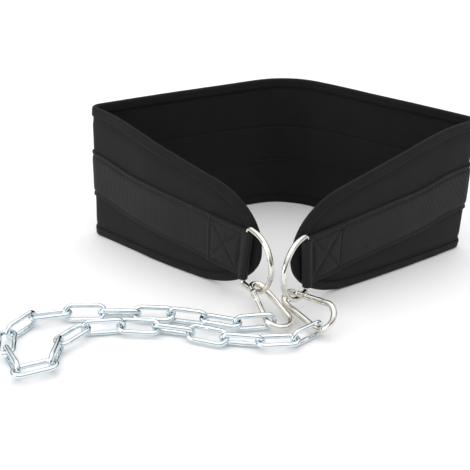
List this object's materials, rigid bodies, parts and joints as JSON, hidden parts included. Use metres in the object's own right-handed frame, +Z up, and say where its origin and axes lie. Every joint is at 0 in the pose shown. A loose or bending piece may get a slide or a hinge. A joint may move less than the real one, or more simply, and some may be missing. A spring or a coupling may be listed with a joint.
{
  "type": "dip belt",
  "caption": "Padded waist belt with a full-length webbing strap, a D-ring and spring hook at each end and a welded steel chain.",
  "frame": {"origin": "on the floor, under the middle of the box around the whole belt and its chain", "axes": "+X to the right and -Y to the open front as the belt is seen from the front, +Z up"},
  "size_m": [0.459, 0.4256, 0.158],
  "materials": {
    "neoprene": "matt knitted face on foam",
    "binding": "matt woven tape",
    "webbing": "ribbed woven webbing",
    "nickel": "polished nickel plate",
    "zinc": "bright zinc plate"
  },
  "bodies": {
    "belt": {"belt_body": "neoprene", "edge_binding": "binding", "webbing_strap": "webbing", "d_ring_left": "nickel", "d_ring_right": "nickel", "hook_left": "nickel", "hook_right": "nickel", "pin_left": "nickel", "pin_right": "nickel", "chain_link_01": "zinc", "chain_link_02": "zinc", "chain_link_03": "zinc", "chain_link_04": "zinc", "chain_link_05": "zinc", "chain_link_06": "zinc", "chain_link_07": "zinc", "chain_link_08": "zinc", "chain_link_09": "zinc", "chain_link_10": "zinc", "chain_link_11": "zinc", "chain_link_12": "zinc", "chain_link_13": "zinc", "chain_link_14": "zinc", "chain_link_15": "zinc", "chain_link_16": "zinc", "chain_link_17": "zinc", "chain_link_18": "zinc", "chain_link_19": "zinc", "chain_link_20": "zinc"},
    "gate_left": {"gate_left": "nickel"},
    "gate_right": {"gate_right": "nickel"}
  },
  "joints": [
    {"name": "gate_left_hinge", "type": "hinge", "parent": "belt", "child": "gate_left", "pos_m": [-0.00567, -0.07613, 0.0195], "axis": [0.1994, -0.1704, 0.965], "range_deg": [0, 25]},
    {"name": "gate_right_hinge", "type": "hinge", "parent": "belt", "child": "gate_right", "pos_m": [0.03562, -0.08308, 0.02411], "axis": [0.6339, 0.5189, -0.5735], "range_deg": [0, 25]}
  ]
}
